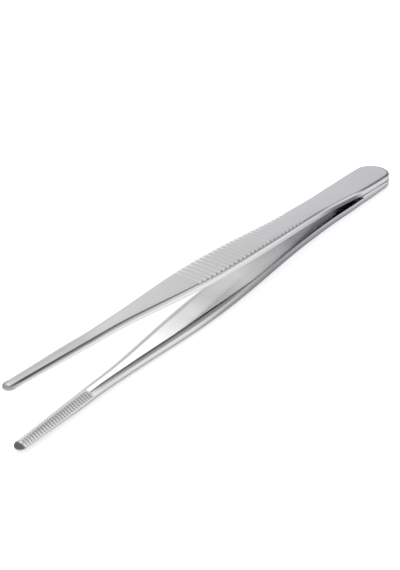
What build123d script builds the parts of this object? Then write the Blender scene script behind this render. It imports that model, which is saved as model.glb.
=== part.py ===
from build123d import *
from math import atan2, cos, degrees, hypot, pi, sin
import os

# A pair of one-piece steel arms, welded together at the butt and sprung apart at the tips.
# It lies on its lower arm: +X runs from the butt to the tips, +Y across the width, +Z is up.
# The origin is under the middle of the pair, on the surface that it lies on.
# Everything is drawn about the middle plane between the arms, which is tilted with the tips up.

# Both arms
arm_length = 145.0
seam_length = 17.0
tip_opening = 14.5

# Width of an arm, and where along it each width is reached
butt_width = 10.3
neck_width = 7.6
grip_width = 9.9
jaw_width = 4.0
tip_width = 3.25
width_place_shares = (0.062, 0.26, 0.545, 0.85, 1.0)

# Thickness of an arm, and where along it each thickness is reached
butt_thickness = 1.85
neck_thickness = 2.1
grip_thickness = 2.42
jaw_thickness = 2.05
tip_thickness = 1.5
thickness_place_shares = (0.062, 0.28, 0.52, 0.84, 1.0)

# Sections that the arm is drawn through, after the butt, as shares of the arm's length
station_shares = (0.14, 0.20, 0.26, 0.33, 0.40, 0.47, 0.54, 0.58, 0.62, 0.70, 0.78)
# Height of the inner face over the middle plane there, as shares of its height at the tip. The
# one at 0.58 is a hair under a straight line, so the pair lies steady on the places beside it.
rise_shares = (0.097, 0.152, 0.21, 0.262, 0.326, 0.404, 0.4785, 0.5191, 0.5713, 0.6665, 0.756)
# The same height where the jaw begins, from which the jaw runs straight to the tip
jaw_rise_share = 0.808
# How far along the arm the slope of the inner face is taken, either way, as a share of its length
slope_reach_share = 0.06

# The wedge-shaped pad on the lower butt, which fills the space between the two butts: how thick
# it is at the centre of the round end and at the seam's end, and how far in from the butt's sides
pad_back_thickness = 0.34
pad_front_thickness = 0.92
pad_inset = 0.1

# Round outer edges: their reach over half the width and their depth in the thickness
round_place_shares = (0.062, 0.26, 0.54, 0.84, 1.0)
round_reach_shares = (0.13, 0.14, 0.16, 0.43, 0.65)
round_depth_shares = (0.33, 0.33, 0.37, 0.44, 0.47)

# The outer face is hollowed by a hair across the grip, so the pair lies steady on the grip's edges
hollow_place_shares = (0.12, 0.36, 0.74, 0.84)
hollow_depths = (0, 0.03, 0.03, 0)

# Bevelled inner edges: a trace at the neck, broad from the front of the grip to the tip
bevel_place_shares = (0.062, 0.40, 0.62, 0.84, 1.0)
bevel_reach_shares = (0.045, 0.055, 0.38, 0.65, 0.57)
bevel_depth_shares = (0.08, 0.09, 0.31, 0.32, 0.4)

# Finger grooves across the outer face of the grip
groove_count = 26
groove_start = 45.3
groove_pitch = 1.7
groove_width = 1.1
groove_depth = 0.3

# Teeth cut across the inner face of the jaw, over its bevelled edges too
tooth_count = 27
tooth_start = 123.8
tooth_pitch = 0.73
tooth_width = 0.64
tooth_depth = 0.4

# The neck is the stretch that flexes, from the seam's end to here, and it hinges at one line
neck_end = 44.0
hinge_place = 31.0
jaw_clearance = 0.1

# The spot weld that holds the two butts together
weld_diameter = 4.6
weld_depth = 0.6

# How far each cutter passes the metal
overrun = 1.0

half_opening = tip_opening / 2
butt_place = butt_width / 2
cap_place = arm_length - tip_width / 2
jaw_start = tooth_start - tooth_pitch


def along(place, place_shares, sizes):
    """The size at a place on the arm, eased from each listed place to the next."""
    share = place / arm_length
    size = sizes[0]
    spans = zip(place_shares, place_shares[1:], sizes, sizes[1:])
    for near, far, first, last in spans:
        part_way = min(max((share - near) / (far - near), 0), 1)
        size += (last - first) * (1 - cos(pi * part_way)) / 2
    return size


def width_at(place):
    widths = (butt_width, neck_width, grip_width, jaw_width, tip_width)
    return along(place, width_place_shares, widths)


def thickness_at(place):
    thicknesses = (butt_thickness, neck_thickness, grip_thickness, jaw_thickness, tip_thickness)
    return along(place, thickness_place_shares, thicknesses)


# Places of the sections, and the inner face's height at each
places = [butt_place, seam_length]
places += [share * arm_length for share in station_shares]
places += [jaw_start, arm_length]
rises = [pad_back_thickness / 2, pad_front_thickness / 2]
rises += [share * half_opening for share in rise_shares]
rises += [jaw_rise_share * half_opening, half_opening]


def rise_at(place):
    """Height of the inner face over the middle plane."""
    spans = zip(places, places[1:], rises, rises[1:])
    rise = rises[0]
    for near, far, first, last in spans:
        part_way = min(max((place - near) / (far - near), 0), 1)
        rise += (last - first) * part_way
    return rise


# The two butts lie straight along the pad, each at this slope to the middle plane
butt_lean = atan2(rises[1] - rises[0], seam_length - butt_place)


def lean_at(place):
    """Slope of the inner face at a place, in radians, from the sections on either side of it."""
    reach = arm_length * slope_reach_share
    if place - reach < seam_length:
        return butt_lean
    front = min(place + reach, arm_length)
    back = place - reach
    return atan2(rise_at(front) - rise_at(back), front - back)


# The pair lies on the edge of its butt and on the fullest place under the grip
butt_edge = butt_place * round_reach_shares[0]
edge_height = rises[0] + butt_thickness - (butt_place - butt_edge) * sin(butt_lean)
tilts = [
    atan2(rise_at(place) + thickness_at(place) - edge_height, place - butt_edge)
    for place in places[1:]
]
tilt = max(tilts)
butt_lift = edge_height * cos(tilt) - butt_edge * sin(tilt)
far_end = arm_length * cos(tilt) + (half_opening + tip_thickness) * sin(tilt)


def lying(place, rise):
    """A point of the middle plane's own frame, where the pair lies on the surface."""
    x = place * cos(tilt) - rise * sin(tilt) - far_end / 2
    z = place * sin(tilt) + rise * cos(tilt) + butt_lift
    return (x, 0, z)


def cross_plane(place, rise=0, lean=0):
    """A plane across the arm, its X over the width and its Y away from the middle plane."""
    turn = tilt + lean
    return Plane(origin=lying(place, rise), x_dir=(0, 1, 0), z_dir=(cos(turn), 0, sin(turn)))


def side_plane(place, rise, lean):
    """A plane along the arm, its X towards the tip and its Y away from the middle plane."""
    turn = tilt + lean
    return Plane(origin=lying(place, rise), x_dir=(cos(turn), 0, sin(turn)), z_dir=(0, -1, 0))


middle_plane = Plane(
    origin=lying(0, 0), x_dir=(cos(tilt), 0, sin(tilt)), z_dir=(-sin(tilt), 0, cos(tilt))
)


def edge_sizes(place):
    """Reach and depth of the round outer edge, then of the bevelled inner edge."""
    half_width = width_at(place) / 2
    thickness = thickness_at(place)
    round_reach = half_width * along(place, round_place_shares, round_reach_shares)
    round_depth = thickness * along(place, round_place_shares, round_depth_shares)
    bevel_reach = half_width * along(place, bevel_place_shares, bevel_reach_shares)
    bevel_depth = thickness * along(place, bevel_place_shares, bevel_depth_shares)
    return round_reach, round_depth, bevel_reach, bevel_depth


def half_outline(place):
    """One side of the arm's section: along the inner face, up the side and over the round edge."""
    half_width = width_at(place) / 2
    thickness = thickness_at(place)
    round_reach, round_depth, bevel_reach, bevel_depth = edge_sizes(place)
    inner = (half_width - bevel_reach, 0)
    side = (half_width, bevel_depth)
    shoulder = (half_width, thickness - round_depth)
    over = (
        half_width - round_reach * (1 - cos(pi / 4)),
        thickness - round_depth * (1 - sin(pi / 4)),
    )
    outer = (half_width - round_reach, thickness)
    return inner, side, shoulder, over, outer


def mirrored(point):
    return (-point[0], point[1])


def arm_section(place, plane):
    """The whole section of the arm."""
    inner, side, shoulder, over, outer = half_outline(place)
    hollow = along(place, hollow_place_shares, hollow_depths)
    with BuildSketch(plane) as section:
        with BuildLine():
            Polyline(mirrored(inner), inner, side, shoulder)
            ThreePointArc(shoulder, over, outer)
            Bezier(outer, (0, outer[1] - 2 * hollow), mirrored(outer))
            ThreePointArc(mirrored(outer), mirrored(over), mirrored(shoulder))
            Polyline(mirrored(shoulder), mirrored(side), mirrored(inner))
        make_face()
    return section.sketch


def half_section(place, plane):
    """The half of the section on the far side of its middle, for turning a round end."""
    inner, side, shoulder, over, outer = half_outline(place)
    with BuildSketch(plane) as section:
        with BuildLine():
            Polyline((0, outer[1]), (0, 0), inner, side, shoulder)
            ThreePointArc(shoulder, over, outer)
            Line(outer, (0, outer[1]))
        make_face()
    return section.sketch


def notch(width, depth):
    """Corners of a V that bottoms out at its depth, with upright sides past the surface."""
    half_width = width / 2
    return (
        (-half_width, overrun),
        (-half_width, 0),
        (0, -depth),
        (half_width, 0),
        (half_width, overrun),
    )


def groove_plane(place):
    """The plane of a groove's V, at one side of the arm, where the V crosses the outer face."""
    top = rise_at(place) + thickness_at(place)
    return side_plane(place, top, lean_at(place)).offset(-grip_width / 2 - overrun)


def tooth_plane(place, side):
    """The plane of one stretch of a V: -1 and 1 are the bevels, and 0 is the flat between them."""
    across = cross_plane(place, rise_at(place), lean_at(place))
    round_reach, round_depth, bevel_reach, bevel_depth = edge_sizes(place)
    offset = (width_at(place) - bevel_reach) / 2
    middle = across.x_dir * side * offset + across.y_dir * abs(side) * bevel_depth / 2
    run = across.x_dir * bevel_reach + across.y_dir * side * bevel_depth
    stretch = Plane(origin=across.origin + middle, x_dir=across.z_dir, z_dir=run)
    return stretch.offset(-jaw_width / 2)


# The spot weld: a round nugget of fused metal, sunk into the upper butt and the lower one's pad.
butt_centre = cross_plane(butt_place, rises[0], butt_lean)
butt_axis = Axis(butt_centre.origin, butt_centre.y_dir)
weld_plane = Plane(
    origin=butt_centre.origin, x_dir=butt_centre.z_dir, z_dir=butt_centre.y_dir
).offset(-weld_depth)

with BuildPart() as spot_weld:
    with BuildSketch(weld_plane):
        Circle(weld_diameter / 2)
    extrude(amount=2 * weld_depth)

# The butt: a flat plate with a round end, straight as far as the arms are held together.
seam_plane = cross_plane(seam_length, rises[1], butt_lean)

with BuildPart() as butt_plate:
    revolve(half_section(butt_place, butt_centre), axis=butt_axis, revolution_arc=180)
    loft([arm_section(butt_place, butt_centre), arm_section(seam_length, seam_plane)], ruled=True)

with BuildPart() as upper_butt:
    add(butt_plate.part)
    add(spot_weld.part, mode=Mode.SUBTRACT)


def pad_section(place, plane, thickness, sides):
    """The pad's section under the upper butt, sunk into the lower one: its half or the whole."""
    half_width = width_at(place) / 2 - pad_inset
    with BuildSketch(plane) as section:
        with Locations((half_width / 2 * (2 - sides), -(thickness + weld_depth) / 2)):
            Rectangle(half_width * sides, thickness + weld_depth)
    return section.sketch


# The lower butt: the same plate, turned over, with the pad that the upper butt is welded to.
with BuildPart() as lower_butt:
    mirror(butt_plate.part, about=middle_plane)
    pad_end = pad_section(butt_place, butt_centre, pad_back_thickness, 1)
    revolve(pad_end, axis=butt_axis, revolution_arc=180)
    pad_back = pad_section(butt_place, butt_centre, pad_back_thickness, 2)
    pad_face = cross_plane(seam_length, rises[1])
    pad_front = pad_section(seam_length, pad_face, pad_front_thickness, 2)
    loft([pad_back, pad_front], ruled=True)
    add(spot_weld.part, mode=Mode.SUBTRACT)

# The rest of the arm as far as the jaw, in one sweep through its sections.
jaw_plane = cross_plane(jaw_start, rise_at(jaw_start), lean_at(jaw_start))
jaw_section = arm_section(jaw_start, jaw_plane)
sections = [
    arm_section(place, cross_plane(place, rise_at(place), lean_at(place)))
    for place in places[1:-2]
]

with BuildPart() as arm_blank:
    loft(sections + [jaw_section])

# The neck and the moving arm are one strip, parted where the arm stops flexing.
flex_plane = cross_plane(neck_end, rise_at(neck_end))

with BuildPart() as upper_neck:
    add(arm_blank.part)
    split(bisect_by=flex_plane, keep=Keep.BOTTOM)

# The jaw: a straight taper with a round nose. Its teeth are parted by Vs across the inner face,
# each bent down over both bevels.
nose_plane = cross_plane(cap_place, rise_at(cap_place), lean_at(arm_length))
nose_axis = Axis(nose_plane.origin, -nose_plane.y_dir)

with BuildPart() as toothed_jaw:
    revolve(half_section(cap_place, nose_plane), axis=nose_axis, revolution_arc=180)
    loft([jaw_section, arm_section(cap_place, nose_plane)], ruled=True)
    for tooth in range(tooth_count):
        for side in (-1, 0, 1):
            with BuildSketch(tooth_plane(tooth_start + tooth * tooth_pitch, side)):
                with BuildLine():
                    Polyline(notch(tooth_width, tooth_depth), close=True)
                make_face()
    extrude(amount=jaw_width, mode=Mode.SUBTRACT)

# Finger grooves: a V straight across the outer face at each pitch.
with BuildPart() as upper_arm:
    add(arm_blank.part)
    split(bisect_by=flex_plane, keep=Keep.TOP)
    for groove in range(groove_count):
        with BuildSketch(groove_plane(groove_start + groove * groove_pitch)):
            with BuildLine():
                Polyline(notch(groove_width, groove_depth), close=True)
            make_face()
    extrude(amount=grip_width + 2 * overrun, mode=Mode.SUBTRACT)
    add(toothed_jaw.part)

# The lower arm is the same strip, turned over.
with BuildPart() as lower_neck:
    mirror(upper_neck.part, about=middle_plane)

with BuildPart() as lower_arm:
    mirror(upper_arm.part, about=middle_plane)

pieces = {
    "spot_weld": spot_weld,
    "upper_butt": upper_butt,
    "upper_neck": upper_neck,
    "upper_arm": upper_arm,
    "lower_butt": lower_butt,
    "lower_neck": lower_neck,
    "lower_arm": lower_arm,
}
os.makedirs("parts", exist_ok=True)
for name, piece in pieces.items():
    piece.part.label = name
    export_step(piece.part, "parts/" + name + ".step")

# The arms close on each other by turning about the hinge line in the neck.
hinge_rise = rise_at(hinge_place) + thickness_at(hinge_place) / 2
tip_reach = hypot(arm_length - hinge_place, half_opening - hinge_rise)
start_angle = atan2(half_opening - hinge_rise, arm_length - hinge_place)
end_angle = atan2(jaw_clearance / 2 - hinge_rise, tip_reach)
print("tilt", round(degrees(tilt), 3))
print("upper hinge", lying(hinge_place, hinge_rise))
print("lower hinge", lying(hinge_place, -hinge_rise))
print("closing angle", round(degrees(start_angle - end_angle), 3))
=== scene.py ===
from math import atan, cos, hypot, inf, pi, radians, sin

import bmesh
import bpy
from mathutils import Matrix, Vector


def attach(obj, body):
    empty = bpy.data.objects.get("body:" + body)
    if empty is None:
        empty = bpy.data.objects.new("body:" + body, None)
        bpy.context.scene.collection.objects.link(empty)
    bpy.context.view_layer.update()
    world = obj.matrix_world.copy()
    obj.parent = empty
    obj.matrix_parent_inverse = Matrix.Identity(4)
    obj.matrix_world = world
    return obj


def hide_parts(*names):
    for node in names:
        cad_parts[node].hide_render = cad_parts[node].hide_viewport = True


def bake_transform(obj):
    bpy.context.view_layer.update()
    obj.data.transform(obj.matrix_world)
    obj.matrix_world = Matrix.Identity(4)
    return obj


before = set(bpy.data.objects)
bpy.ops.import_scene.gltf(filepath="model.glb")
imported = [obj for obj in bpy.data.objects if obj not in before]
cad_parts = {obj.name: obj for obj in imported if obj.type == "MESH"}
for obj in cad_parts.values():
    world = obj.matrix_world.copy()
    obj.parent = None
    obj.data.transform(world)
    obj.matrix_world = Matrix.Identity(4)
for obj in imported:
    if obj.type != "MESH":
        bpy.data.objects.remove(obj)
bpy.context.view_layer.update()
print("frame loaded:", sorted(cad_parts))

mm = 0.001
creaseAngle = 35.0             # degrees; sharper edges of the steel keep their crease


class Wire:
    def __init__(self, graph, socket):
        self.graph = graph
        self.socket = socket

    def maths(self, operation, first, second):
        return self.graph.add("Math", {"operation": operation}, {0: first, 1: second})

    def __add__(self, other):
        return self.maths("ADD", self, other)

    def __radd__(self, other):
        return self.maths("ADD", other, self)

    def __sub__(self, other):
        return self.maths("SUBTRACT", self, other)

    def __rsub__(self, other):
        return self.maths("SUBTRACT", other, self)

    def __mul__(self, other):
        return self.maths("MULTIPLY", self, other)

    def __rmul__(self, other):
        return self.maths("MULTIPLY", other, self)


class Graph:
    def __init__(self, owner):             # a material or the world
        owner.use_nodes = True
        self.tree = owner.node_tree
        self.tree.nodes.clear()

    def add(self, kind, settings=None, sockets=None, out=0):
        node = self.tree.nodes.new("ShaderNode" + kind)
        for name, value in (settings or {}).items():
            setattr(node, name, value)
        for name, value in (sockets or {}).items():
            if isinstance(value, Wire):
                self.tree.links.new(value.socket, node.inputs[name])
            else:
                node.inputs[name].default_value = value
        return Wire(self, node.outputs[out]) if node.outputs else None

    def mixColours(self, share, first, second):        # 6, 7 and 2 are the node's colour sockets
        return self.add("Mix", {"data_type": "RGBA"}, {0: share, 6: first, 7: second}, out=2)

    def scaled(self, colour, amount):
        return self.add("VectorMath", {"operation": "SCALE"}, {0: colour, "Scale": amount})

    def fade(self, value, start, full):    # smooth step from 0 at the start to 1 where it is full
        return self.add("MapRange", {"interpolation_type": "SMOOTHSTEP"},
                        {0: value, 1: start, 2: full, 3: 0.0, 4: 1.0})


def linked(name, data):        # a new object in the scene
    made = bpy.data.objects.new(name, data)
    bpy.context.scene.collection.objects.link(made)
    return made


def within(value, low, high):
    return min(max(value, low), high)


buttShare = 0.062              # up to here the butt has its full section, as a share of the length
tipShare = 1.0

arm = {                        # millimetres; the tables go by share of the length
    "length": 145.0,
    "seam": 17.0,              # where the gap between the arms begins
    "tipOpening": 14.5,
    "width": {buttShare: 10.3, 0.26: 7.6, 0.545: 9.9, 0.85: 4.0, tipShare: 3.25},
    "thickness": {buttShare: 1.85, 0.28: 2.1, 0.52: 2.42, 0.84: 2.05, tipShare: 1.5},
    # The rounded outer edge and the bevel under it, as shares of the half width and thickness
    "roundReach": {buttShare: 0.13, 0.26: 0.14, 0.54: 0.16, 0.84: 0.43, tipShare: 0.65},
    "roundDepth": {buttShare: 0.33, 0.26: 0.33, 0.54: 0.37, 0.84: 0.44, tipShare: 0.47},
    "bevelReach": {buttShare: 0.045, 0.40: 0.055, 0.62: 0.38, 0.84: 0.65, tipShare: 0.57},
    "bevelDepth": {buttShare: 0.08, 0.40: 0.09, 0.62: 0.31, 0.84: 0.32, tipShare: 0.4},
    # Height of the inner face over the middle plane, as a share of half the tips' opening
    "rise": {0.14: 0.097, 0.20: 0.152, 0.26: 0.21, 0.33: 0.262, 0.40: 0.326,
             0.47: 0.404, 0.54: 0.4785, 0.58: 0.5191, 0.62: 0.5713, 0.70: 0.6665,
             0.78: 0.756},
    "jawStart": 123.07,
    "jawRise": 0.808,          # the same share where the straight jaw starts
    "buttRise": 0.17,          # the same height in millimetres, in the butt and at the seam
    "seamRise": 0.46,
    "crown": 0.05,             # how much lower the outer face is at its edges
    "cornerRadius": 0.14,      # softening of the inner edges
    "cornerShare": 0.4,        # the most of a short side that it takes
    "endReach": 0.995,         # keeps the round ends a hair inside those of the solids
    "bend": (17.0, 44.0),      # where the neck that flexes starts and ends
    "grooves": {"count": 26, "start": 45.3, "pitch": 1.7, "width": 1.1, "depth": 0.3,
                "rings": (0.06, 0.35, 0.7, 0.94, 1.04, 1.3),   # to each side, in half widths
                "worn": 0.15,              # share of the depth left in the middle of the face
                "wearPower": 6},           # how late the depth comes back towards the sides
    "teeth": {"count": 27, "start": 123.8, "pitch": 0.73, "width": 0.64, "depth": 0.4,
              "rings": (0.08, 0.3, 0.6, 0.94, 1.06),
              "sideShare": 0.35,           # how much of their depth they have on the side
              "sideMost": 0.1},            # and the most of it, in millimetres
    # The mesh: rings a millimetre apart where nothing is cut, and points in each stretch of the
    # profile, which the painted shade and the polish below count from the middle of the inner face
    "plainRings": ((6, 43), (89, 122)),
    "jawRing": 122.6,          # one more, just before the jaw
    "leastStep": 0.01,         # rings nearer than this are left out
    "profileSteps": {"inner": 5, "bevel": 3, "side": 3, "round": 10, "outer": 8},
    "polishFade": (21, 26),    # from polished to satin, on the round edge
    "buttSteps": 40,           # round each end
    "tipSteps": 28,
    "grainDepth": 30.0,        # sets the grain of one arm apart from that of the other
}


def eased(place, table):       # the table's value at a place, with a smooth step between its rows
    share = place / arm["length"]
    keys = list(table)
    size = table[keys[0]]
    for near, far in zip(keys, keys[1:]):
        partWay = within((share - near) / (far - near), 0, 1)
        size += (table[far] - table[near]) * (1 - cos(pi * partWay)) / 2
    return size


def rowsAround(place, rows):   # the two neighbouring rows that a place lies between
    for near, far in zip(rows, rows[1:]):
        if place <= far[0]:
            break
    return near, far


halfOpening = arm["tipOpening"] / 2
buttPlace = arm["width"][buttShare] / 2        # centre of the butt's round end
tipPlace = arm["length"] - arm["width"][tipShare] / 2
buttSlope = (arm["seamRise"] - arm["buttRise"]) / (arm["seam"] - buttPlace)
jawSlope = halfOpening * (1 - arm["jawRise"]) / (arm["length"] - arm["jawStart"])


def riseTable():               # rows of place, rise and slope, from the seam to the jaw
    points = [(arm["seam"], arm["seamRise"])]
    points += [(share * arm["length"], rise * halfOpening) for share, rise in arm["rise"].items()]
    points += [(arm["jawStart"], arm["jawRise"] * halfOpening)]
    slopes = [buttSlope]
    for before, here, after in zip(points, points[1:], points[2:]):
        left, right = here[0] - before[0], after[0] - here[0]
        leftSlope = (here[1] - before[1]) / left
        rightSlope = (after[1] - here[1]) / right
        slopes.append((leftSlope * right + rightSlope * left) / (left + right))
    slopes.append(jawSlope)
    return [(place, rise, slope) for (place, rise), slope in zip(points, slopes)]


riseRows = riseTable()


def riseAt(place):             # height of the inner face over the middle plane, and its slope
    if place <= arm["seam"]:
        return arm["buttRise"] + buttSlope * (place - buttPlace), buttSlope
    if place >= arm["jawStart"]:
        return riseRows[-1][1] + jawSlope * (place - arm["jawStart"]), jawSlope
    (x0, y0, s0), (x1, y1, s1) = rowsAround(place, riseRows)
    span = x1 - x0
    t = (place - x0) / span
    rise = (y0 * (1 + 2 * t) * (1 - t) ** 2 + s0 * span * t * (1 - t) ** 2
            + y1 * t * t * (3 - 2 * t) + s1 * span * t * t * (t - 1))
    slope = ((y1 - y0) * 6 * t * (1 - t) / span + s0 * (1 - t) * (1 - 3 * t)
             + s1 * t * (3 * t - 2))
    return rise, slope


# The pair lies tilted on the edge of its butt and on the fullest place under the grip
buttEdge = buttPlace * arm["roundReach"][buttShare]
edgeHeight = (arm["buttRise"] + arm["thickness"][buttShare]
              - (buttPlace - buttEdge) * sin(atan(buttSlope)))
tilt = max(atan((rise + eased(place, arm["thickness"]) - edgeHeight) / (place - buttEdge))
           for place, rise, slope in riseRows)
buttLift = edgeHeight * cos(tilt) - buttEdge * sin(tilt)
farEnd = arm["length"] * cos(tilt) + (halfOpening + arm["thickness"][tipShare]) * sin(tilt)


def lying(place, across, height):      # from the pair's middle plane to the frame, in metres
    x = place * cos(tilt) - height * sin(tilt) - farEnd / 2
    z = place * sin(tilt) + height * cos(tilt) + buttLift
    return Vector((x, across, z)) * mm


def cutDepth(place, cuts):     # depth of a row of V cuts at a place along the arm
    nearest = within(round((place - cuts["start"]) / cuts["pitch"]), 0, cuts["count"] - 1)
    offset = abs(place - cuts["start"] - nearest * cuts["pitch"])
    return max(cuts["depth"] * (1 - 2 * offset / cuts["width"]), 0.0)


def softened(before, at, after):           # three points in the place of a corner
    def towards(other):
        length = hypot(other[0] - at[0], other[1] - at[1])
        step = min(arm["cornerRadius"], arm["cornerShare"] * length) / length
        return at[0] + (other[0] - at[0]) * step, at[1] + (other[1] - at[1]) * step

    first, last = towards(before), towards(after)
    middle = tuple((first[i] + last[i] + 2 * at[i]) / 4 for i in (0, 1))
    return [first, middle, last]


def between(first, last, count):           # points after the first, up to the last
    return [(first[0] + (last[0] - first[0]) * i / count,
             first[1] + (last[1] - first[1]) * i / count) for i in range(1, count + 1)]


def halfProfile(place):        # inner face, bevel, side, round edge, outer face: (across, height)
    grooves, teeth, steps = arm["grooves"], arm["teeth"], arm["profileSteps"]
    half = eased(place, arm["width"]) / 2
    thick = eased(place, arm["thickness"])
    roundReach = half * eased(place, arm["roundReach"])
    roundDepth = thick * eased(place, arm["roundDepth"])
    bevelReach = half * eased(place, arm["bevelReach"])
    bevelDepth = thick * eased(place, arm["bevelDepth"])
    flat = half - roundReach
    crown = arm["crown"]

    tooth = cutDepth(place, teeth)
    slant = hypot(bevelReach, bevelDepth)
    middle = (0.0, tooth)
    innerEdge = (half - bevelReach - tooth * (slant - bevelReach) / bevelDepth, tooth)
    sideEdge = (half, bevelDepth + min(tooth * teeth["sideShare"], teeth["sideMost"]))
    shoulder = (half, thick - roundDepth)
    inner = softened(middle, innerEdge, sideEdge)
    side = softened(innerEdge, sideEdge, shoulder)
    points = [middle] + between(middle, inner[0], steps["inner"]) + inner[1:]
    points += between(inner[-1], side[0], steps["bevel"]) + side[1:]
    points += between(side[-1], shoulder, steps["side"])
    for step in range(1, steps["round"] + 1):
        angle = step * pi / (2 * steps["round"])
        points.append((half - roundReach * (1 - cos(angle)),
                       thick - crown - roundDepth + roundDepth * sin(angle)))
    for step in range(1, steps["outer"] + 1):
        across = flat * (1 - step / steps["outer"])
        points.append((across, thick - crown * (across / flat) ** 2))

    groove = cutDepth(place, grooves)

    def grooveFloor(across):
        unworn = min(across / flat, 1) ** grooves["wearPower"]
        return thick - groove * (grooves["worn"] + (1 - grooves["worn"]) * unworn)

    return [(across, min(height, grooveFloor(across))) for across, height in points]


def section(place):            # the half profile, the distances round it, and the lean there
    profile = halfProfile(place)
    distances = [0.0]
    for (y0, h0), (y1, h1) in zip(profile, profile[1:]):
        distances.append(distances[-1] + hypot(y1 - y0, h1 - h0))
    return profile, distances, riseAt(place)


def ringPlaces():              # places along the arm where the mesh has a ring
    places = [buttPlace, arm["jawRing"], arm["jawStart"], tipPlace]
    for first, last in arm["plainRings"]:
        places += range(first, last + 1)
    for cuts in (arm["grooves"], arm["teeth"]):
        for number in range(cuts["count"]):
            centre = cuts["start"] + number * cuts["pitch"]
            half = cuts["width"] / 2
            places += [centre + sign * share * half for share in cuts["rings"] for sign in (-1, 1)]
    places.sort()
    return [place for place, after in zip(places, places[1:] + [inf])
            if after - place > arm["leastStep"]]


paintedShadeTables = {                      # painted shade and painted dark reflections: how dark the steel's colour is made, by millimetres along the arm
    "points": (5, 7, 10, 12, 14, 16, 18, 20, 22, 24, 26),      # profile points of the edge values
    "upperEdge": {0: (0, .95, .6, .3, .2, .2, .5, .95, .95, .6, 0),
                  17: (0, .95, .6, .3, .2, .2, .3, .8, .9, .5, 0),
                  21: (0, .9, .9, .9, .9, .6, .1, .2, .4, .1, 0),
                  31: (0, .9, .9, .9, .88, .6, .15, .3, .5, .1, 0),
                  38: (0, .4, .4, .4, .38, .3, .25, .75, .85, .3, 0),
                  60: (0, .35, .35, .3, .22, .1, .15, .65, .75, .3, 0),
                  90: (0, .2, .2, .15, .05, .05, .1, .4, .5, .1, 0),
                  105: (0, .25, .25, .2, .05, .05, .2, .6, .7, .3, 0),
                  120: (0, .25, .25, .2, .05, .1, .2, .85, .95, .6, 0),
                  141: (0, .3, .3, .2, .1, .1, .3, .9, .95, .7, .1),
                  144: (0, .6, .6, .6, .6, .5, .5, .7, .6, .3, .1)},
    "lowerEdge": {0: (0, .1, .15, .3, .5, .65, .9, .95, .95, .3, 0),
                  20: (0, .5, .4, .4, .6, .8, .97, .97, .95, .3, 0),
                  60: (0, .75, .75, .62, .72, .85, .97, .97, .95, .3, 0),
                  80: (0, .7, .5, .5, .6, .7, .95, .97, .95, .3, 0),
                  92: (0, .8, .2, .15, .3, .5, .9, .95, .9, .3, 0),
                  120: (0, .8, .25, .15, .25, .45, .85, .9, .9, .3, 0),
                  124: (0, .2, .15, .15, .25, .45, .85, .9, .9, .3, 0),
                  143.3: (0, .1, .1, .15, .2, .4, .8, .9, .9, .3, 0),
                  143.8: (.95, .95, .95, .9, .3, .4, .8, .9, .9, .3, 0)},
    "upperFace": {0: 0.0, 25: 0.0, 60: 0.04, 75: 0.1, 94: 0.08, 113: 0.08, 128: 0.33,
                  136: 0.36, 141: 0.32, 145: 0.2},
    "lowerFace": {0: 0.0, 22: 0.0, 30: 0.4, 38: 0.6, 46: 0.58, 52: 0.3, 60: 0.17, 68: 0.0,
                  77: 0.24, 89: 0.36, 100: 0.12, 110: 0.0, 123: 0.0, 124: 0.35, 138: 0.4,
                  143.3: 0.2, 143.8: 0.95},
    "farEdge": 0.3,            # share of the painted edge shade that the far side of each arm has
    "nose": 143.0,             # from here on it has them in full
}


def along(place, table):       # the table's value at a place, straight from row to row
    (near, first), (far, last) = rowsAround(place, list(table.items()))
    share = within((place - near) / (far - near), 0, 1)
    if isinstance(first, tuple):
        return [a + (b - a) * share for a, b in zip(first, last)]
    return first + (last - first) * share


def paintedShadeAt(place, point, side, across):        # painted shade and reflections: 1 where the steel keeps its bright colour, 0 where it is darkest
    arms = "upper" if side > 0 else "lower"
    points = paintedShadeTables["points"]
    dark = along(point, dict(zip(points, along(place, paintedShadeTables[arms + "Edge"]))))
    if across < 0 and place < paintedShadeTables["nose"]:
        dark *= paintedShadeTables["farEdge"]
    facesUp = point >= points[-1] if side > 0 else point <= points[0]
    if facesUp:
        dark = max(dark, along(place, paintedShadeTables[arms + "Face"]))
    return 1 - dark


class SteelSkin:               # a mesh in the making, with the values that the steel reads
    def __init__(self):
        self.work = bmesh.new()
        layers = self.work.verts.layers
        self.grain = layers.float_vector.new("grain")  # millimetres along and round the piece
        self.polish = layers.float.new("polish")       # 1 polished, 0 satin
        # painted shade and dark reflections: 1 keeps the steel's own colour, 0 takes the shaded
        # colour
        self.paintedShade = layers.float.new("paintedShade")

    def vertex(self, point, grain, polish, paintedShade):
        vert = self.work.verts.new(point)
        vert[self.grain] = Vector(grain)
        vert[self.polish] = polish
        vert[self.paintedShade] = paintedShade
        return vert

    def band(self, first, second):         # faces between two rows, which may share their ends
        for corners in zip(first, first[1:], second[1:], second):
            self.work.faces.new(list(dict.fromkeys(corners)))

    def tube(self, rings):                 # faces all round, from ring to ring
        for ring, after in zip(rings, rings[1:]):
            self.band(ring + ring[:1], after + after[:1])

    def piece(self, name):
        bmesh.ops.recalc_face_normals(self.work, faces=self.work.faces)
        mesh = bpy.data.meshes.new(name)
        self.work.to_mesh(mesh)
        self.work.free()
        for face in mesh.polygons:
            face.use_smooth = True
        mesh.set_sharp_from_angle(angle=radians(creaseAngle))
        return linked(name, mesh)


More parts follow.
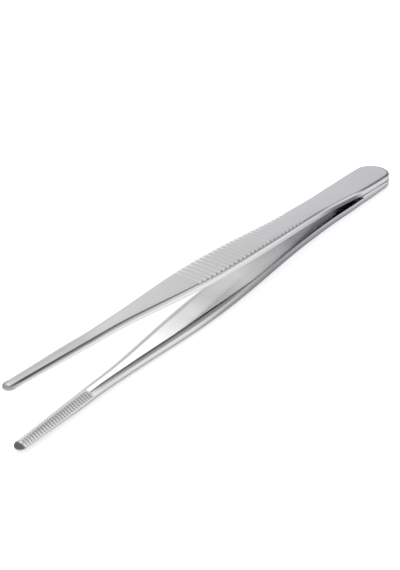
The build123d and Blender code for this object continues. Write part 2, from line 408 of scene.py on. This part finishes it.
def armMesh(name, side):       # side is 1 for the upper arm and -1 for the lower one
    skin = SteelSkin()
    polished, satin = arm["polishFade"]

    def vertex(place, across, height, lean, point, distance):
        rise, slope = lean
        norm = hypot(1, slope)
        spot = lying(place - height * slope / norm, across, side * (rise + height / norm))
        polish = 1.0 - within((point - polished) / (satin - polished), 0, 1)
        return skin.vertex(spot, (place, distance, side * arm["grainDepth"]), polish,
                           paintedShadeAt(place, point, side, across))

    def fullRing(place):       # from the inner face's middle up the near side, down the far side
        profile, distances, lean = section(place)
        rows = list(enumerate(zip(profile, distances)))
        ring = [vertex(place, across, height, lean, point, distance)
                for point, ((across, height), distance) in rows]
        return ring + [vertex(place, -across, height, lean, point, -distance)
                       for point, ((across, height), distance) in rows[-2:0:-1]]

    def roundEnd(ring, place, sign, steps):    # the half profile turned about its middle line
        profile, distances, (rise, slope) = section(place)
        last = len(profile) - 1
        columns = [ring[:last + 1]]
        for step in range(1, steps):
            angle = pi * step / steps
            column = [ring[0]]
            for point in range(1, last):
                across, height = profile[point]
                ahead = sign * arm["endReach"] * sin(angle) * across
                column.append(vertex(place + ahead, across * cos(angle), height,
                                     (rise + ahead * slope, slope), point, distances[point]))
            columns.append(column + [ring[last]])
        columns.append(ring[:1] + ring[:last - 1:-1])
        for column, after in zip(columns, columns[1:]):
            skin.band(column, after)

    rings = [fullRing(place) for place in ringPlaces()]
    skin.tube(rings)
    roundEnd(rings[0], buttPlace, -1, arm["buttSteps"])
    roundEnd(rings[-1], tipPlace, 1, arm["tipSteps"])
    return skin.piece(name)


pad = {
    "sunk": 0.35,              # how far it reaches into the lower butt
    "edge": 0.2,               # softening of its upper edge, which shows as the seam
    "edgeShare": 0.3,          # of that, where the softening turns
    "roundSteps": 40,          # points round the butt, and along each side to the seam
    "sideSteps": 8,
    # painted shade: a dark seam on the softened edge, and a darker side below it
    "edgePaintedShade": 0.12,
    "sidePaintedShade": 0.72,
    "grainDepth": 60.0,
}


def padOutline():              # from the seam round the butt and back: (place, across)
    seam, steps = arm["seam"], pad["sideSteps"]
    wide, narrow = (eased(place, arm["width"]) / 2 for place in (buttPlace, seam))
    side = [(seam, narrow)]
    side += [(buttPlace + (seam - buttPlace) * (1 - i / steps),
              narrow + (wide - narrow) * i / steps) for i in range(1, steps)]
    angles = [pi * step / pad["roundSteps"] for step in range(pad["roundSteps"] + 1)]
    end = [(buttPlace - wide * sin(angle), wide * cos(angle)) for angle in angles]
    return side + end + [(place, -across) for place, across in reversed(side)]


def padMesh(name):
    skin = SteelSkin()
    edge, turn = pad["edge"], pad["edge"] * pad["edgeShare"]
    levels = ((edge, 0.0, pad["edgePaintedShade"]),            # how far in, how far down, and the painted shade
              (turn, turn, pad["edgePaintedShade"]),
              (0.0, edge, pad["sidePaintedShade"]),
              (0.0, None, pad["sidePaintedShade"]))            # the underside
    rings = []
    for inset, below, paintedShade in levels:
        shrink = 1 - inset / buttPlace
        ring = []
        for place, across in padOutline():
            rise = riseAt(within(place, 0, arm["seam"]))[0]
            height = -rise - pad["sunk"] if below is None else rise - below
            inward = place
            if place < buttPlace:
                inward = buttPlace + (place - buttPlace) * shrink
            elif place == arm["seam"]:
                inward = place - inset
            ring.append(skin.vertex(lying(inward, across * shrink, height),
                                    (place, across + height, pad["grainDepth"]), 1.0, paintedShade))
        rings.append(ring)
    skin.work.faces.new(rings[0])
    skin.work.faces.new(rings[-1][::-1])
    skin.tube(rings)
    return skin.piece(name)


steelLook = {
    "colour": (0.745, 0.745, 0.75, 1.0),
    "shaded": (0.10, 0.10, 0.12, 1.0),         # colour of the painted shade, taken on where the painted shade is full
    "rim": (0.56, 0.56, 0.6, 1.0),             # how much light a surface seen edge-on keeps
    "frontTint": (1.0, 1.0, 0.965, 1.0),
    "frontFade": (40.0, 80.0),                 # where the tint begins and is full, along the arm
    "polishedRoughness": 0.14,
    "satinRoughness": 0.3,
    "brushing": (1.0, 3.0),                    # scale and detail of each noise
    "smudges": (0.18, 4.0),
    "pitting": (2.2, 2.0),
    "brushingStretch": (9.0, 0.12, 1.0),
    "brushedRoughness": 0.1,                   # what the noises change of the roughness
    "smudgedRoughness": 0.08,
    "pittedColour": 0.16,                      # and of the colour
    "smudgedColour": 0.05,
    "bumpStrength": 0.12,
    "bumpHeight": 0.02,                        # millimetres
    "polishedBump": 0.25,                      # share of the bump that polished faces have
}


def steelMaterial():
    look = steelLook
    material = bpy.data.materials.new("satinSteel")
    graph = Graph(material)
    grain = graph.add("Attribute", {"attribute_name": "grain"}, out=1)
    polish = graph.add("Attribute", {"attribute_name": "polish"}, out=2)
    paintedShade = graph.add("Attribute", {"attribute_name": "paintedShade"}, out=2)

    def noise(name, vector):
        scale, detail = look[name]
        return graph.add("TexNoise", sockets={"Vector": vector, "Scale": scale, "Detail": detail})

    stretched = graph.add("Mapping", {"vector_type": "TEXTURE"},
                          {0: grain, "Scale": look["brushingStretch"]})
    brushing = noise("brushing", stretched)
    smudges = noise("smudges", grain)
    pitting = noise("pitting", grain)
    satin = 1.0 - polish
    roughness = (look["polishedRoughness"]
                 + satin * (look["satinRoughness"] - look["polishedRoughness"])
                 + (brushing - 0.5) * look["brushedRoughness"]
                 + (smudges - 0.5) * look["smudgedRoughness"])
    place = graph.add("SeparateXYZ", sockets={0: grain})
    front = graph.fade(place, *look["frontFade"])
    tint = graph.mixColours(front, (1, 1, 1, 1), look["frontTint"])
    # painted shade and reflections: the colour goes towards the shaded one where they are full
    colour = graph.mixColours(paintedShade, look["shaded"], look["colour"])
    colour = graph.add("VectorMath", {"operation": "MULTIPLY"}, {0: colour, 1: tint})
    mottle = (1.0 + (pitting - 0.5) * satin * look["pittedColour"]
              + (smudges - 0.5) * look["smudgedColour"])
    colour = graph.scaled(colour, mottle)
    height = brushing * (look["polishedBump"] + (1 - look["polishedBump"]) * satin)
    bump = graph.add("Bump", sockets={"Strength": look["bumpStrength"],
                                      "Distance": look["bumpHeight"] * mm, "Height": height})
    shader = graph.add("BsdfPrincipled", sockets={
        "Base Color": colour, "Metallic": 1.0, "Roughness": roughness, "Normal": bump,
        "Specular Tint": look["rim"]})
    graph.add("OutputMaterial", sockets={"Surface": shader})
    return material


steel = steelMaterial()
bendStart, bendEnd = (lying(place, 0, 0) for place in arm["bend"])
for name, side in (("upperArm", 1), ("lowerArm", -1)):
    body = "upper" if side == 1 else "lower"
    piece = armMesh(name, side)
    piece.data.materials.append(steel)
    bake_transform(piece)
    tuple(bendStart)
    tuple(bendEnd)
    extra = ["spot_weld"] if side == 1 else []         # the weld is out of sight in the butts
    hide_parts(body + "_butt", body + "_neck", body + "_arm", *extra)
    print(name, "has", len(piece.data.vertices), "vertices")
buttPad = padMesh("buttPad")
buttPad.data.materials.append(steel)
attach(buttPad, "butt")
print("buttPad has", len(buttPad.data.vertices), "vertices")


stage = {
    "floorColour": (0.8, 0.8, 0.8, 1.0),
    "floorGlow": 0.45,         # added where the camera and the steel see the floor
    "floorHalf": 1.5,          # metres
    "floorDrop": 0.05,         # millimetres that the floor lies under the steel
}


def whiteFloor():
    material = bpy.data.materials.new("whiteFloor")
    graph = Graph(material)
    camera, mirror, through = (graph.add("LightPath", out=ray) for ray in
                               ("Is Camera Ray", "Is Glossy Ray", "Is Transmission Ray"))
    seen = 1.0 - (1.0 - camera) * (1.0 - mirror) * (1.0 - through)     # 1 for any of the three
    glow = graph.add("Emission", sockets={"Color": (1, 1, 1, 1),
                                          "Strength": seen * stage["floorGlow"]})
    matt = graph.add("BsdfDiffuse", sockets={"Color": stage["floorColour"]})
    both = graph.add("AddShader", sockets={0: glow, 1: matt})
    graph.add("OutputMaterial", sockets={"Surface": both})
    return material


reach = stage["floorHalf"]
floorMesh = bpy.data.meshes.new("floor")
floorMesh.from_pydata([(-reach, -reach, 0), (reach, -reach, 0), (reach, reach, 0),
                       (-reach, reach, 0)], [], [(0, 1, 2, 3)])
floorMesh.materials.append(whiteFloor())
floor = linked("floor", floorMesh)
floor.location.z = -stage["floorDrop"] * mm
print("floor laid")


studio = {                     # light from all round, by the x, y and z of its direction
    "level": 0.98,
    "tint": (0.985, 0.985, 1.0),
    "bandsAt": (-0.25, -0.42),             # x from which the bands begin, and where they are full
    "bandsOver": (0.3, 0.5),               # and z
    "bands": {                             # y where it begins, is full, fades and ends; change
        "dark": (-0.44, -0.34, -0.02, 0.10, -0.7),
        "bright": (0.05, 0.15, 0.70, 0.85, 0.38)},
    "cards": {                             # direction, degrees off it to full and to end; change
        "bright": ((-0.46, -0.59, 0.665), 4, 12, 0.7),
        "grey": ((-0.70, -0.47, 0.54), 3, 12, -0.24)},
}


def studioLight():
    world = bpy.data.worlds.new("studio")
    bpy.context.scene.world = world
    graph = Graph(world)
    direction = graph.add("TexCoord", out="Generated")
    x, y, z = (graph.add("SeparateXYZ", sockets={0: direction}, out=axis) for axis in range(3))
    bandArea = graph.fade(x, *studio["bandsAt"]) * graph.fade(z, *studio["bandsOver"])
    level = studio["level"]
    for begins, full, fades, ends, change in studio["bands"].values():
        band = graph.fade(y, begins, full) * graph.fade(y, ends, fades)
        level = level + band * bandArea * change
    for centre, full, ends, change in studio["cards"].values():
        aim = Vector(centre).normalized()
        facing = graph.add("VectorMath", {"operation": "DOT_PRODUCT"}, {0: direction, 1: aim}, out=1)
        level = level + graph.fade(facing, cos(radians(ends)), cos(radians(full))) * change
    shade = graph.scaled(studio["tint"], level)
    background = graph.add("Background", sockets={"Color": shade, "Strength": 1.0})
    graph.add("OutputWorld", sockets={"Surface": background})


studioLight()
print("light placed")


view = {
    "place": (158.956, 142.509, 145.004),      # millimetres
    "forward": (-0.600756, -0.576828, -0.553499),
    "roll": 6.229,                             # degrees, clockwise in the picture
    "lens": 63.158,
    "sensor": 36.0,
    "nearest": 10.0,                           # millimetres from which the camera sees
}


def placeCamera():
    data = bpy.data.cameras.new("camera")
    data.lens = view["lens"]
    data.sensor_width = view["sensor"]
    data.clip_start = view["nearest"] * mm
    forward = Vector(view["forward"]).normalized()
    right = forward.cross(Vector((0, 0, 1))).normalized()
    down = forward.cross(right)
    roll = radians(view["roll"])
    right, down = right * cos(roll) + down * sin(roll), down * cos(roll) - right * sin(roll)
    rotation = Matrix((right, -down, -forward)).transposed().to_4x4()
    camera = linked("camera", data)
    camera.matrix_world = Matrix.Translation(Vector(view["place"]) * mm) @ rotation
    bpy.context.scene.camera = camera


placeCamera()
bpy.context.scene.view_settings.view_transform = "Standard"
print("camera placed")
